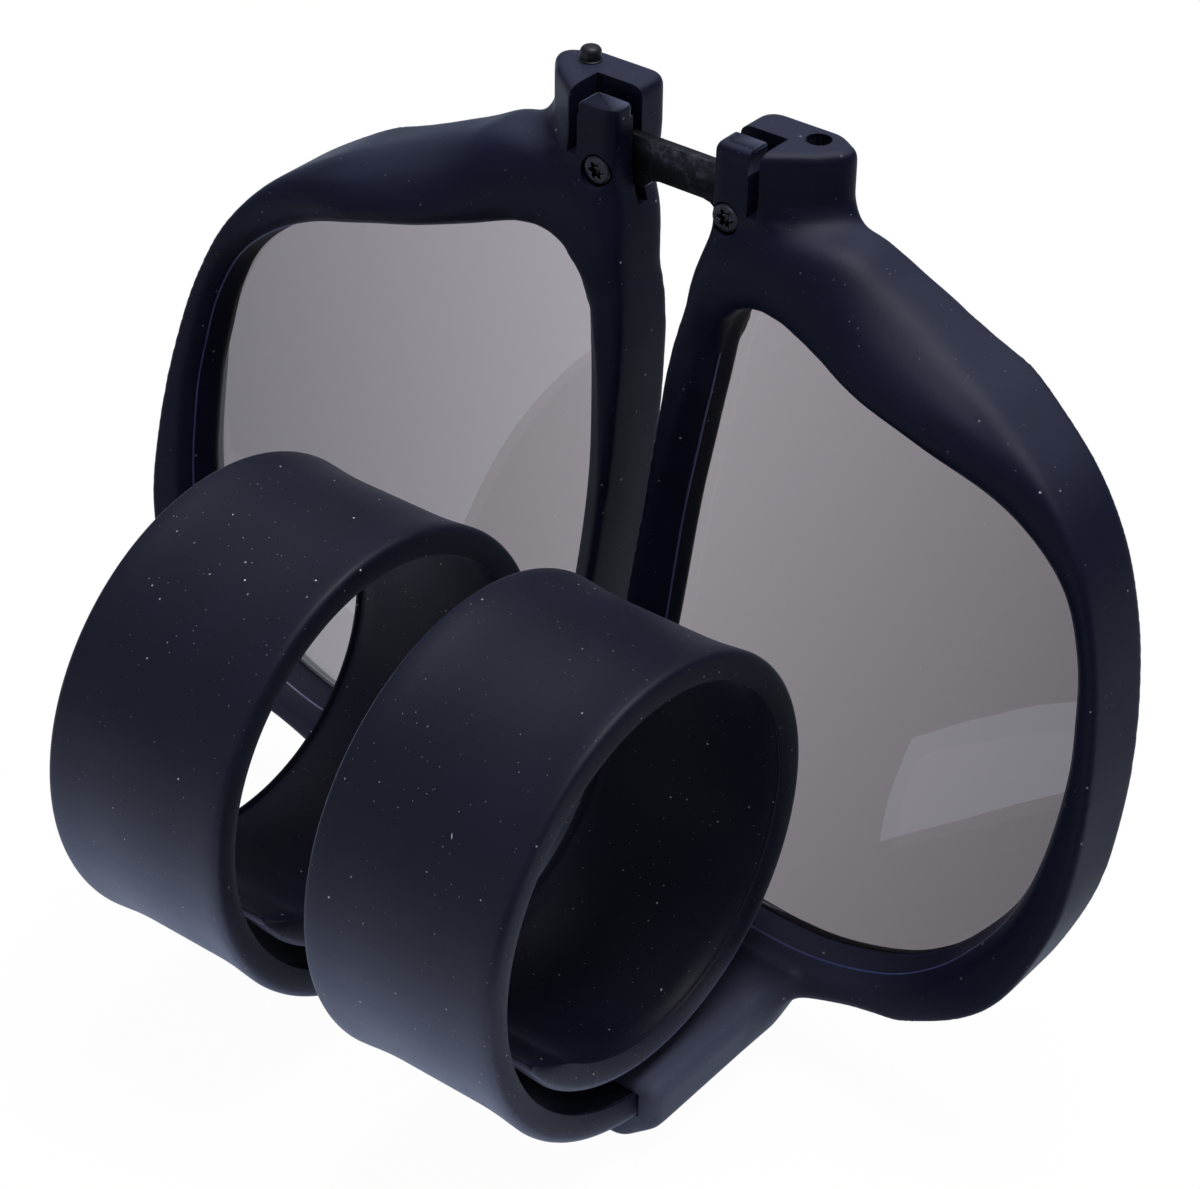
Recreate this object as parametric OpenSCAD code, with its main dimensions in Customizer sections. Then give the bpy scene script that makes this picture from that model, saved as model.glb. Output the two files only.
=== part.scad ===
// Folding sunglasses with coiling bands, folded and coiled up.
// Millimetres, +Z up. The halves mirror each other in X = 0, the coils' axis lies along X,
// and the wearer's side is -Y. Inside the modules Z = 0 is the plane of the hinge block faces
// and Y = 0 is the front of the blocks; the last move puts the origin under the middle of the pair.

/* [Overall] */
// Height of the folded pair, from the feet of the end pieces to the faces of the hinge blocks
fold_h = 74; // [73.5:0.5:78]
// Gap that each block face keeps from the middle when the halves are unfolded
face_gap = 0.1; // [0.05:0.05:0.3]
// Clearance of a pin or screw in its hole
fit_c = 0.03; // [0.02:0.01:0.08]

/* [Lens] */
// Width of the lens opening, from its nose side to its temple side
lens_w = 49.2; // [46:0.2:50]
// Height of the lens opening, from its brow side to its cheek side
lens_h = 40.5; // [38:0.1:43]
// Thickness of the lens
lens_t = 2; // [1.6:0.1:2.2]
// How far the lens reaches into the groove of the rim
lens_bite = 0.8; // [0.5:0.1:1.2]
// Distance of the lens opening from the block faces
lens_top = 14.6; // [14:0.2:17]
// Distance of the lens opening's brow side from the middle
lens_in = 5.3; // [4.9:0.1:5.6]
// Radius of the sphere that the lenses and rims follow
wrap_r = 167; // [150:1:200]

/* [Rim] */
// Width of the rim along the brow
brow_w = 2.9; // [2.2:0.1:3.2]
// Width of the rim along the cheek
cheek_w = 3.6; // [3:0.1:5]
// Width of the rim's broad flange along the nose
nose_w = 8.8; // [7.5:0.1:10]
// Width of the rim beside the end piece
temple_w = 3; // [2.6:0.1:4]
// How far the rim stands in front of the lens's inner face
rim_front = 3.4; // [3:0.1:4.5]
// How far the rim stands behind the lens's inner face
rim_back = 3.4; // [2.5:0.1:4]
// Radius of the nose pad's dome
pad_r = 18; // [15:0.5:24]
// How far the nose pad stands out of the rim
pad_rise = 2.6; // [1.5:0.1:3.5]

/* [Hinge block] */
// Distance of the block's brow side from the middle
block_in = 4.9; // [4.6:0.1:5.2]
// Width of the block's face
block_w = 9.8; // [9.4:0.1:11]
// Depth of the block from its front to the wearer's side
block_d = 7.8; // [7.4:0.1:9]
// Radius of the block's edges
block_edge = 0.9; // [0.6:0.1:1.2]
// Front wall between the slot and the block's front
slot_wall = 3.9; // [3.6:0.1:4.2]
// Width of the slot beyond the link's own thickness
slot_c = 0.2; // [0.1:0.05:0.4]
// Width of the slit that frees the clamping finger
slit_w = 0.95; // [0.6:0.05:1.2]
// Depth of that slit
slit_d = 5.6; // [4:0.1:6]
// How far the finger's end stands below the block face
finger_drop = 0.4; // [0:0.1:1]

/* [Bridge link] */
// Distance of each pivot screw from the middle
pivot_x = 6.5; // [6.4:0.05:6.8]
// Radius of the link's eyes
eye_r = 2.7; // [2.4:0.1:2.8]
// Thickness of the link plate
link_t = 1; // [0.8:0.1:1.2]
// How far the bar reaches below the pivots
bar_low = 0.8; // [0.4:0.1:1.2]

/* [Screws and peg] */
// Radius of the screw's shank
screw_r = 0.8; // [0.6:0.05:0.9]
// Length of the screw under its head
screw_len = 5.6; // [5:0.1:6]
// Radius of the screw's head
screw_head_r = 1.3; // [1.1:0.05:1.45]
// Height of the screw's head
screw_head_h = 0.8; // [0.6:0.05:1]
// Radius of the locating peg
peg_r = 0.9; // [0.7:0.05:1]
// How far the peg stands out of its block
peg_rise = 1.3; // [1:0.1:1.6]
// How deep the peg is set in its block
peg_set = 3; // [2:0.1:4]
// Distance of the peg from the middle
peg_x = 11.4; // [11.3:0.1:12]
// Distance of the peg from the block's front
peg_y = 2.4; // [2.2:0.1:2.6]
// Clearance round the peg in the other block's hole
peg_c = 0.15; // [0.1:0.05:0.25]

/* [End piece] */
// Length of the end piece behind the blocks' front plane
end_len = 39.2; // [38:0.1:44]
// Depth of the end piece from its foot to its upper side
end_h = 7.2; // [7.1:0.1:7.4]
// Cover of the end piece beside the band
end_side = 0.8; // [0.6:0.1:1]
// Radius of the anchor pins that hold the band
anchor_r = 0.7; // [0.5:0.05:0.9]
// Length of the anchor pins
anchor_len = 4.8; // [4.4:0.1:5]
// Distance between the two anchor pins
anchor_gap = 8; // [6:0.5:11]

/* [Band] */
// Width of the band
band_w = 18.7; // [17:0.1:18.8]
// Distance of the band from the middle
band_in = 4.5; // [4.5:0.1:4.8]
// Thickness of the band
band_t = 2; // [1.8:0.1:2.2]
// How far the band's edges flare outwards
band_flare = 0.8; // [0.4:0.1:0.9]
// Number of links that stand for the bending of the band
band_n = 20; // [20:1:20]
// Turn of the band inside and just behind the end piece, in degrees
root_turn = 11.5; // [10:0.5:12]
// Turn of each link, in degrees
seg_turn = 20.3; // [19:0.1:20.4]
// Radius of the coil where the band leaves the end piece
coil_r_root = 21.9; // [21:0.1:22.5]
// Radius of the coil at its top
coil_r_top = 18.5; // [18:0.1:19]
// Radius of the coil where it runs inside itself
coil_r_inner = 16.7; // [16.4:0.1:17.2]
// Radius of the coil at its free tip
coil_r_tip = 19.7; // [18.8:0.1:20]
// Length of the straight root inside the end piece
root_len = 5; // [4:0.1:6]
// Thickness of the spring strip inside the band
strip_t = 0.3; // [0.2:0.05:0.4]
// Width of the spring strip
strip_w = 14.5; // [12:0.1:15.5]
// Clearance of the band's root in its socket and of the strip in the band
band_c = 0.1; // [0.05:0.05:0.15]
// Half the gap between links at the strip
seg_gap = 0.05; // [0.03:0.01:0.1]

/* [Hidden] */
SIDES = [["right", 1], ["left", -1]];
BAND_LINKS = ["01", "02", "03", "04", "05", "06", "07", "08", "09", "10",
              "11", "12", "13", "14", "15", "16", "17", "18", "19", "20"];

$fn = 48;
ball_fn = 200;
far = 90;

// Finishes
black_plastic = "#1d1e23";
black_silicone = "#17181b";
smoked = "#8b8280";
dark_metal = "#3a3a3c";
spring_steel = "#a9abae";

// Places that follow from the sizes
pivot_z = -(pivot_x - face_gap);
link_y = -slot_wall - slot_c / 2 - link_t / 2;
slot_front = -slot_wall;
slot_back = -slot_wall - link_t - slot_c;
slot_out = pivot_x + eye_r + 0.3;
slot_depth = pivot_z - eye_r - 0.8;
head_y = -block_d;
head_seat = 0.7;
foot_z = -fold_h;
end_top = foot_z + end_h;
band_mid = band_in + band_w / 2;
wrap_centre = [11, -5.4 - wrap_r, -2];
root_z = foot_z + 4.8;
root_y = 4 - end_len;
block_out = block_in + block_w;
end_in = band_in - end_side;
end_out = band_in + band_w + end_side;

// Turn of the band before piece k; piece 0 is the root
function turn_before(k) = k == 0 ? 0 : root_turn + (k - 1) * seg_turn;
function turn_of(k) = k == 0 ? root_turn : seg_turn;
function blend_to(a, b, u) = a + (b - a) * u;
total_turn = root_turn + band_n * seg_turn;
function coil_r(t) =
    t < 180 ? blend_to(coil_r_root, coil_r_top, t / 180)
    : t < 330 ? blend_to(coil_r_top, coil_r_inner, (t - 180) / 150)
    : blend_to(coil_r_inner, coil_r_tip, (t - 330) / (total_turn - 330));
function piece_r(k) = coil_r(turn_before(k) + turn_of(k) / 2);

// The band's middle line in the Y-Z plane: it leaves the root along -Y and turns upwards
function dir(a) = [cos(a), sin(a)];
function start_angle(k) = 270 - turn_before(k);
function step_of(k) = piece_r(k) * (dir(start_angle(k) - turn_of(k)) - dir(start_angle(k)));
band_joints = [for (k = 0, p = [root_y, root_z]; k <= band_n + 1; p = p + step_of(k), k = k + 1) p];
function piece_centre(k) = band_joints[k] - piece_r(k) * dir(start_angle(k));
function band_point(k, u) = piece_centre(k) + piece_r(k) * dir(start_angle(k) - u * turn_of(k));

// The rearmost piece of the coil is the one that stands upright
rear_piece = 1 + floor((90 - root_turn) / seg_turn);
coil_rear = piece_centre(rear_piece)[0] - piece_r(rear_piece) - band_t / 2 - band_flare;
shift = [0, -coil_rear / 2, fold_h];

// A closed smooth line through the points, with n steps from each to the next
function knot(p, i) = p[(i + len(p)) % len(p)];
function spline(p, i, t) = 0.5 * (2 * knot(p, i)
    + (knot(p, i + 1) - knot(p, i - 1)) * t
    + (2 * knot(p, i - 1) - 5 * knot(p, i) + 4 * knot(p, i + 1) - knot(p, i + 2)) * t * t
    + (3 * knot(p, i) - knot(p, i - 1) - 3 * knot(p, i + 1) + knot(p, i + 2)) * t * t * t);
function smooth(p, n) = [for (i = [0 : len(p) - 1], j = [0 : n - 1]) spline(p, i, j / n)];

// The same line moved outwards by d; the points run anticlockwise
function turned(v) = [v[1], -v[0]] / norm(v);
function grown(p, d) = [for (i = [0 : len(p) - 1]) p[i] + d * turned(knot(p, i + 1) - knot(p, i - 1))];

// A polygon with its corners rounded; each row is x, y, radius
function corner(p, i, n) =
    let (c = [p[i][0], p[i][1]], a = knot(p, i - 1), b = knot(p, i + 1), r = p[i][2],
         u = ([a[0], a[1]] - c) / norm([a[0], a[1]] - c),
         v = ([b[0], b[1]] - c) / norm([b[0], b[1]] - c),
         half = acos(u * v) / 2, mid = (u + v) / norm(u + v), o = c + mid * r / sin(half),
         s = o - c, from = atan2((c + u * r / tan(half) - o)[1], (c + u * r / tan(half) - o)[0]),
         to = atan2((c + v * r / tan(half) - o)[1], (c + v * r / tan(half) - o)[0]),
         sweep = (to - from + 540) % 360 - 180)
    r == 0 ? [c] : [for (j = [0 : n]) o + r * dir(from + sweep * j / n)];
function rounded(p, n = 4) = [for (i = [0 : len(p) - 1]) each corner(p, i, n)];

// Lens opening as X and Z, in shares of its height and width, round from the cheek side
lens_form = [[1, 0.486], [0.99, 0.394], [0.97, 0.303], [0.921, 0.211], [0.837, 0.146], [0.721, 0.096],
             [0.573, 0.053], [0.425, 0.022], [0.284, 0.002], [0.18, 0], [0.099, 0.026], [0.054, 0.077],
             [0.03, 0.163], [0.015, 0.272], [0.002, 0.394], [0, 0.557], [0.005, 0.74], [0.047, 0.898],
             [0.185, 0.988], [0.363, 1], [0.536, 0.99], [0.699, 0.949], [0.807, 0.894], [0.886, 0.825],
             [0.951, 0.74], [0.988, 0.628]];
lens_out = lens_in + lens_h;
lens_low = -lens_top - lens_w;
lens_points = [for (f = lens_form) [lens_in + f[0] * lens_h, -lens_top - f[1] * lens_w]];
lens_line = smooth(lens_points, 3);

// Outer line of the rim as X and Z, set off from the lens opening, the hinge block and the end piece
rim_out = lens_out + cheek_w;
brow_x = lens_in - brow_w;
nose_z = -lens_top + nose_w;
temple_z = lens_low - temple_w;
rim_low = min(end_top, temple_z) - 1.4;
function across(share) = lens_in + share * lens_h;
function up(share) = lens_low + share * lens_w;
rim_points = [
    [rim_out, up(0.514)], [rim_out - 0.9, up(0.634)], [rim_out - 2.4, up(0.744)],
    [rim_out - 4.9, up(0.856)], [across(0.864), nose_z - nose_w / 2 - 6.8],
    [across(0.716), nose_z - 7.3], [across(0.595), nose_z - 5.4], [across(0.481), nose_z - 3.6],
    [block_out + 7, nose_z - 2.8], [block_out - 1, nose_z - 1.4], [lens_in - 0.4, -lens_top + 4.4],
    [brow_x + 0.4, up(0.927)], [brow_x, up(0.744)], [brow_x, up(0.5)], [brow_x, up(0.276)],
    [brow_x + 0.5, up(0.098)], [lens_in - 0.6, rim_low + 2.7], [end_in + 6.6, rim_low],
    [end_out - 3.7, rim_low], [end_out + 3.1, rim_low + 1.3], [across(0.635), temple_z + 0.7],
    [across(0.741), temple_z + 2], [across(0.83), temple_z + 3.8], [across(0.921), temple_z + 6.2],
    [across(0.985), temple_z + 8.9], [rim_out - 2.2, up(0.199)], [rim_out - 0.8, up(0.295)],
    [rim_out, up(0.392)]];
rim_line = smooth(rim_points, 3);

// Hinge block: its face from above, from the wearer's side and from the brow side
block_plan = rounded([[block_in, 0, 1.6], [block_in, -block_d, block_edge],
                      [block_in + 4.4, -block_d, 0.6], [block_out - 2, -block_d + 3, 1.6],
                      [block_out, -2, 1.4], [block_out - 2.6, 0, 2.4]]);
block_front = rounded([[block_in, 0, block_edge], [block_in, -7.5, 0], [lens_in - brow_w + 0.6, -14, 0],
                       [lens_in + 14, -14, 0], [lens_in + 16, -8.4, 0], [block_out + 2, -6.6, 1.5],
                       [block_out, -4.4, 2], [block_out, 0, block_edge]]);
block_side = rounded([[0, 0, block_edge], [0, -4.5, 3], [-2.6, -12, 0], [-3.4, -15, 0],
                      [-block_d - 0.8, -15, 0], [-block_d, -9, 0], [-block_d, 0, block_edge]]);

// End piece across X and Z
end_section = rounded([[end_in, end_top, 1.2], [end_in, foot_z + 3, 2], [end_in + 3.4, foot_z, 2.6],
                       [end_out - 3.6, foot_z, 2.6], [end_out - 0.4, foot_z + 3, 2],
                       [end_out, end_top, 1.2]]);
end_outline = rounded([[-8, end_top + 3, 0], [-8, foot_z, 0], [-end_len, foot_z, 1.2],
                       [-end_len, end_top, 0.8], [-24, end_top, 0], [-17, end_top + 3, 0]]);

// Band's cross-section: radial place and X, flared at both edges
flare_steps = 6;
function flare_at(u) = band_flare * pow(max(0, (abs(u) - 0.45) / 0.55), 2);
function band_section(c) = concat(
    [for (j = [-flare_steps : flare_steps])
        let (u = j / flare_steps * 0.95) [band_t / 2 + flare_at(u) + c, band_mid + u * (band_w / 2 + c)]],
    [[band_t / 2 + band_flare * 0.6 + c, band_mid + band_w / 2 + c],
     [-band_t / 2 + 0.5, band_mid + band_w / 2 + c], [-band_t / 2 - c, band_mid + band_w / 2 - 0.5],
     [-band_t / 2 - c, band_mid - band_w / 2 + 0.5], [-band_t / 2 + 0.5, band_mid - band_w / 2 - c],
     [band_t / 2 + band_flare * 0.6 + c, band_mid - band_w / 2 - c]]);

// Places one half on its side of the middle and lifts it off the floor
module placed(side) {
    translate(shift)
        if (side > 0) children();
        else mirror([1, 0, 0]) children();
}

// Prisms along Y from an X-Z outline, along X from a Y-Z outline, along Z from an X-Y outline
module along_y(p, y0, y1) {
    translate([0, y1, 0]) rotate([90, 0, 0]) linear_extrude(y1 - y0) polygon(p);
}
module along_x(p, x0, x1) {
    translate([x0, 0, 0]) rotate([90, 0, 90]) linear_extrude(x1 - x0) polygon(p);
}
module along_z(p, z0, z1) {
    translate([0, 0, z0]) linear_extrude(z1 - z0) polygon(p);
}
module rod_y(r, y0, y1) {
    translate([0, y1, 0]) rotate([90, 0, 0]) cylinder(r = r, h = y1 - y0);
}
module box(low, high) {
    translate(low) cube(high - low);
}

// Ball that the rims and lenses follow, grown by d from the lens's inner face
module wrap_ball(d) {
    translate(wrap_centre) sphere(r = wrap_r + d, $fn = ball_fn);
}

module lens_solid(c) {
    difference() {
        intersection() {
            along_y(grown(lens_line, lens_bite + c), -far / 2, 5);
            wrap_ball(lens_t + c);
        }
        wrap_ball(-c);
    }
}

module rim_solid() {
    pad_z = -lens_top + 1.2;
    pad_x = lens_in + 25;
    sag = (pow(pad_x - wrap_centre[0], 2) + pow(pad_z - wrap_centre[2], 2)) / (2 * wrap_r);
    pad_y = wrap_centre[1] + wrap_r - sag - rim_back - pad_rise + pad_r;
    difference() {
        intersection() {
            along_y(rim_line, -far / 2, 5);
            wrap_ball(rim_front);
        }
        difference() {
            wrap_ball(-rim_back);
            translate([pad_x, pad_y, pad_z]) sphere(r = pad_r, $fn = 96);
        }
        along_y(lens_line, -far, 5);
        lens_solid(fit_c);
    }
}

module hinge_block() {
    intersection() {
        along_z(block_plan, -far / 2, 5);
        along_y(block_front, -far / 2, 5);
        along_x(block_side, 0, far);
    }
}

module block_skirt() {
    flank = [[-1.6, -5], [-3, -15], [-block_d - 0.6, -15], [-block_d + 0.6, -5]];
    intersection() {
        along_y(block_front, -far / 2, 5);
        along_x(flank, 0, far);
    }
}

module end_block() {
    intersection() {
        along_y(end_section, -far, 5);
        along_x(end_outline, 0, far);
        wrap_ball(rim_front);
    }
}

module link_slot() {
    box([0, slot_back, slot_depth], [slot_out, slot_front, 5]);
    box([slot_out - slit_w, -far / 2, -slit_d], [slot_out, slot_front, 5]);
    box([0, -far / 2, -finger_drop], [slot_out - slit_w, slot_back, 5]);
}

module screw_hole() {
    translate([pivot_x, head_y + head_seat, pivot_z]) {
        rod_y(screw_r + fit_c, -0.2, screw_len + 0.2);
        rod_y(screw_head_r + 0.1, -far / 2, 0);
    }
}

module anchor_rod(r, s) {
    translate([band_mid + s * anchor_gap / 2, root_y + 2, root_z - anchor_len / 2 - 0.5])
        cylinder(r = r, h = anchor_len);
}
module anchor_set(r) {
    for (s = [-1, 1]) anchor_rod(r, s);
}

// Outline of a sheet that follows the middle line, d to each side of it
function along(m, i) = m[min(i + 1, len(m) - 1)] - m[max(i - 1, 0)];
function beside(m, d) = [for (i = [0 : len(m) - 1]) m[i] + d * turned(along(m, i))];
function sheet(m, d) = let (b = beside(m, -d)) concat(beside(m, d), [for (i = [len(b) - 1 : -1 : 0]) b[i]]);
function root_mid(c) = concat([[root_y + root_len + c, root_z]], [for (j = [0 : 4]) band_point(0, j / 4)]);

// The band's root inside the end piece, grown by c
module root_solid(c) {
    along_x(sheet(root_mid(c), band_t / 2 + c), band_in - c, band_in + band_w + c);
}

module frame_half(side) {
    color(black_plastic) placed(side) difference() {
        union() {
            rim_solid();
            hinge_block();
            block_skirt();
            end_block();
        }
        along_y(lens_line, -far, 5);
        link_slot();
        screw_hole();
        root_solid(band_c);
        anchor_set(anchor_r + fit_c);
        if (side > 0)
            translate([peg_x, -peg_y, -peg_rise - 1]) cylinder(r = peg_r + peg_c, h = 5);
        else
            translate([peg_x, -peg_y, -peg_set]) cylinder(r = peg_r + fit_c, h = 5);
    }
}

module lens(side) {
    color(smoked) placed(side) lens_solid(0);
}

module bridge_link() {
    eye_top = pivot_z + eye_r;
    color(dark_metal) translate(shift) difference() {
        union() {
            for (s = [-1, 1])
                translate([s * pivot_x, 0, pivot_z]) rod_y(eye_r, link_y - link_t / 2, link_y + link_t / 2);
            box([-pivot_x, link_y - link_t / 2, pivot_z - bar_low], [pivot_x, link_y + link_t / 2, eye_top]);
        }
        for (s = [-1, 1])
            translate([s * pivot_x, 0, pivot_z]) rod_y(screw_r + fit_c * 2, -far / 2, 0);
    }
}

module pivot_screw(side) {
    lobe = screw_head_r * 0.38;
    color(dark_metal) placed(side) translate([pivot_x, head_y + head_seat, pivot_z]) difference() {
        union() {
            rod_y(screw_r, 0, screw_len);
            rod_y(screw_head_r, -screw_head_h, 0);
        }
        rod_y(lobe, -screw_head_h - 1, -screw_head_h / 2);
        for (a = [0 : 60 : 300])
            rotate([0, a, 0]) translate([lobe, 0, 0]) rod_y(lobe / 2, -screw_head_h - 1, -screw_head_h / 2);
    }
}

module locating_peg() {
    color(dark_metal) placed(-1) translate([peg_x, -peg_y, 0]) rotate_extrude()
        polygon([[0, -peg_set], [peg_r, -peg_set], [peg_r, peg_rise - 0.5],
                 [peg_r - 0.15, peg_rise - 0.2], [peg_r - 0.4, peg_rise], [0, peg_rise]]);
}

// Spring strip from the anchor pins to the last link but its tip
module spring_strip(side) {
    steps = 4;
    mid = concat([[root_y + root_len - 1, root_z]],
        [for (k = [0 : band_n], j = [0 : steps - 1]) band_point(k, j / steps * (k == band_n ? 0.6 : 1))]);
    color(spring_steel) placed(side) difference() {
        along_x(sheet(mid, strip_t / 2), band_mid - strip_w / 2, band_mid + strip_w / 2);
        anchor_set(anchor_r + fit_c);
    }
}

module anchor_pin(side, s) {
    color(spring_steel) placed(side) anchor_rod(anchor_r, s);
}

module strip_space(r, angle) {
    rotate_extrude(angle = angle) translate([r - strip_t / 2 - band_c, band_mid - strip_w / 2 - band_c])
        square([strip_t + 2 * band_c, strip_w + 2 * band_c]);
}

module band_root(side) {
    color(black_silicone) placed(side) difference() {
        root_solid(0);
        box([0, -far, -far], [far, -end_len, 0]);
        along_x(sheet(root_mid(-0.9), strip_t / 2 + band_c),
                band_mid - strip_w / 2 - band_c, band_mid + strip_w / 2 + band_c);
        anchor_set(anchor_r + fit_c);
    }
}

// One link of the band: its ends lean back outside the strip, so that they meet when the band is straight
module band_link(side, k) {
    r = piece_r(k);
    a = turn_of(k);
    lean = 4 * tan(a / 2);
    function spun(p) = [p[0] * cos(a) - p[1] * sin(a), p[0] * sin(a) + p[1] * cos(a)];
    window = [[r - 4, seg_gap], [r, seg_gap], [r + 4, seg_gap + lean],
              spun([r + 4, -seg_gap - lean]), spun([r, -seg_gap]), spun([r - 4, -seg_gap])];
    tip = k == band_n;
    color(black_silicone) placed(side) rotate([90, 0, 90])
        translate([piece_centre(k)[0], piece_centre(k)[1], 0]) rotate([0, 0, start_angle(k) - a])
            difference() {
                intersection() {
                    rotate_extrude(angle = a) translate([r, 0]) polygon(band_section(0));
                    translate([0, 0, band_in - 1]) linear_extrude(band_w + 2) polygon(window);
                }
                rotate([0, 0, tip ? a * 0.35 : -1]) strip_space(r, tip ? a : a + 2);
            }
}

bridge_link();
locating_peg();
for (s = SIDES) {
    frame_half(s[1]);
    lens(s[1]);
    pivot_screw(s[1]);
    spring_strip(s[1]);
    anchor_pin(s[1], -1);
    anchor_pin(s[1], 1);
    band_root(s[1]);
    for (k = [1 : band_n])
        band_link(s[1], k);
}
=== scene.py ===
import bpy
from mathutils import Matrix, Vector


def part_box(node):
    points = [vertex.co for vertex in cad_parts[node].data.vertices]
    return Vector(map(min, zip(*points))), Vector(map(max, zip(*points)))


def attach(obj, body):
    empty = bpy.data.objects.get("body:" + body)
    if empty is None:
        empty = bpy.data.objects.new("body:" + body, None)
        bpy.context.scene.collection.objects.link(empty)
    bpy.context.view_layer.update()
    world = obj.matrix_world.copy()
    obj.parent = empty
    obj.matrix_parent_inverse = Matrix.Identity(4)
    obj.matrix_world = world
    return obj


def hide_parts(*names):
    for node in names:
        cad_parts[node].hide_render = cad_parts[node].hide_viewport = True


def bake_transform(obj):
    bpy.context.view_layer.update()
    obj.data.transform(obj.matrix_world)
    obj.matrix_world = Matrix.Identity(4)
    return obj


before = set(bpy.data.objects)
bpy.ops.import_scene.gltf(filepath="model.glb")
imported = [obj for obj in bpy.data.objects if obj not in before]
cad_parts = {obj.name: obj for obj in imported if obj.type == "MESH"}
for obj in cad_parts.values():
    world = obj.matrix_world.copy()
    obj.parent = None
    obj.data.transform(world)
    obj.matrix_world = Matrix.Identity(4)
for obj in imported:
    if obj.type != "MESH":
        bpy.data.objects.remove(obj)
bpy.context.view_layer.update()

import math

import bpy
import numpy as np
from mathutils import Matrix, Vector

bl_info = {
    "name": "Folding Sunglasses",
    "version": (1, 0, 0),
    "blender": (4, 5, 0),
    "location": "View3D > Sidebar > Sunglasses",
    "description": "Builds folded sunglasses with coiled spring bands around their CAD frame",
    "category": "Add Mesh",
}

# Millimetres in the modelling space: X from the left half to the right, Y away from the wearer,
# Z up with 0 at the hinge block faces and Y = 0 at the blocks' front. LINK_Y is the link's middle.
MM = 0.001
LINK_Y = -4.5
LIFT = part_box("frame_right")[1].z / MM
SHIFT = (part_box("bridge_link")[0].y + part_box("bridge_link")[1].y) / 2 / MM - LINK_Y
LINKS = 20
SIDES = (("right", 1), ("left", -1))

# X and Z of the screw's axis, Y under the screw's head, X and Y of the peg
PIVOT = np.array([6.5, -6.4])
HEAD_Y = -7.1
PEG = np.array([11.4, -2.4])


def placed(x, y, z):
    """A point of the modelling space as a place in the frame, in metres."""
    return x * MM, (y + SHIFT) * MM, (z + LIFT) * MM


def on_pivot(y, side=1):
    return side * PIVOT[0], y, PIVOT[1]


class SunglassesSizes(bpy.types.PropertyGroup):
    rim_depth: bpy.props.FloatProperty(
        name="Rim depth", description="Depth of the rim and its nose pad, as a share of the plain one",
        default=1.0, min=0.6, max=1.3)
    edge_round: bpy.props.FloatProperty(
        name="Rim front radius", description="Rounding of the rim's front edge, mm",
        default=0.5, min=0.2, max=1.5)
    block_round: bpy.props.FloatProperty(
        name="Block edge radius", description="Rounding of the hinge block's edges, mm",
        default=0.9, min=0.3, max=1.5)
    grain: bpy.props.FloatProperty(
        name="Remesh grain", description="Size of the faces that join the frame's forms, mm",
        default=0.28, min=0.2, max=1)
    band_thick: bpy.props.FloatProperty(
        name="Band thickness", description="Thickness of the silicone sleeve, mm",
        default=2.0, min=1.5, max=3)
    band_flare: bpy.props.FloatProperty(
        name="Band edge flare", description="How far the sleeve's edges flare outwards, mm",
        default=0.35, min=0, max=1)
    band_steps: bpy.props.IntProperty(
        name="Band steps", description="Steps along each link of the band",
        default=10, min=4, max=24)
    lens_bite: bpy.props.FloatProperty(
        name="Lens bite", description="How far the lens reaches into its groove, mm",
        default=1.0, min=0.2, max=1.4)
    lens_arch: bpy.props.FloatProperty(
        name="Lens arch", description="How much further the lens bulges than the rim does, mm",
        default=0.45, min=0, max=1)


class SunglassesColours(bpy.types.PropertyGroup):
    plastic: bpy.props.FloatVectorProperty(
        name="Frame plastic", description="Colour of the soft-touch plastic", subtype="COLOR",
        size=3, default=(0.0028, 0.0036, 0.0125), min=0, max=1)
    silicone: bpy.props.FloatVectorProperty(
        name="Silicone", description="Colour of the bands' sleeves", subtype="COLOR",
        size=3, default=(0.0034, 0.0041, 0.0115), min=0, max=1)
    lens_tint: bpy.props.FloatVectorProperty(
        name="Lens tint", description="Colour that the lenses give to what is seen through them",
        subtype="COLOR", size=3, default=(0.268, 0.222, 0.204), min=0, max=1)
    metal: bpy.props.FloatVectorProperty(
        name="Blackened metal", description="Colour of the link and the screws", subtype="COLOR",
        size=3, default=(0.035, 0.036, 0.042), min=0, max=1)


# Lines and surfaces


def knot_line(points, n):
    """A smooth closed line through the points, n steps from each to the next."""
    p = np.array(points, float)
    out = []
    count = len(p)
    for i in range(count):
        a, b, c, d = p[i - 1], p[i], p[(i + 1) % count], p[(i + 2) % count]
        for t in np.arange(n) / n:
            out.append(0.5 * (2 * b + (c - a) * t + (2 * a - 5 * b + 4 * c - d) * t * t
                              + (3 * b - a - 3 * c + d) * t ** 3))
    return np.array(out)


def smooth_step(x, low, high):
    """Rises smoothly from 0 at low to 1 at high."""
    t = np.clip((np.asarray(x, float) - low) / (high - low), 0, 1)
    return t * t * (3 - 2 * t)


FRONT_RADIUS = 167.0
FRONT_CENTRE = (11.0, -172.4, -2.0)


def wrap_y(x, z):
    """Y of the lens's inner face, a sphere that all of the front follows."""
    across, up = x - FRONT_CENTRE[0], z - FRONT_CENTRE[2]
    return FRONT_CENTRE[1] + np.sqrt(FRONT_RADIUS ** 2 - across ** 2 - up ** 2)


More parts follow.
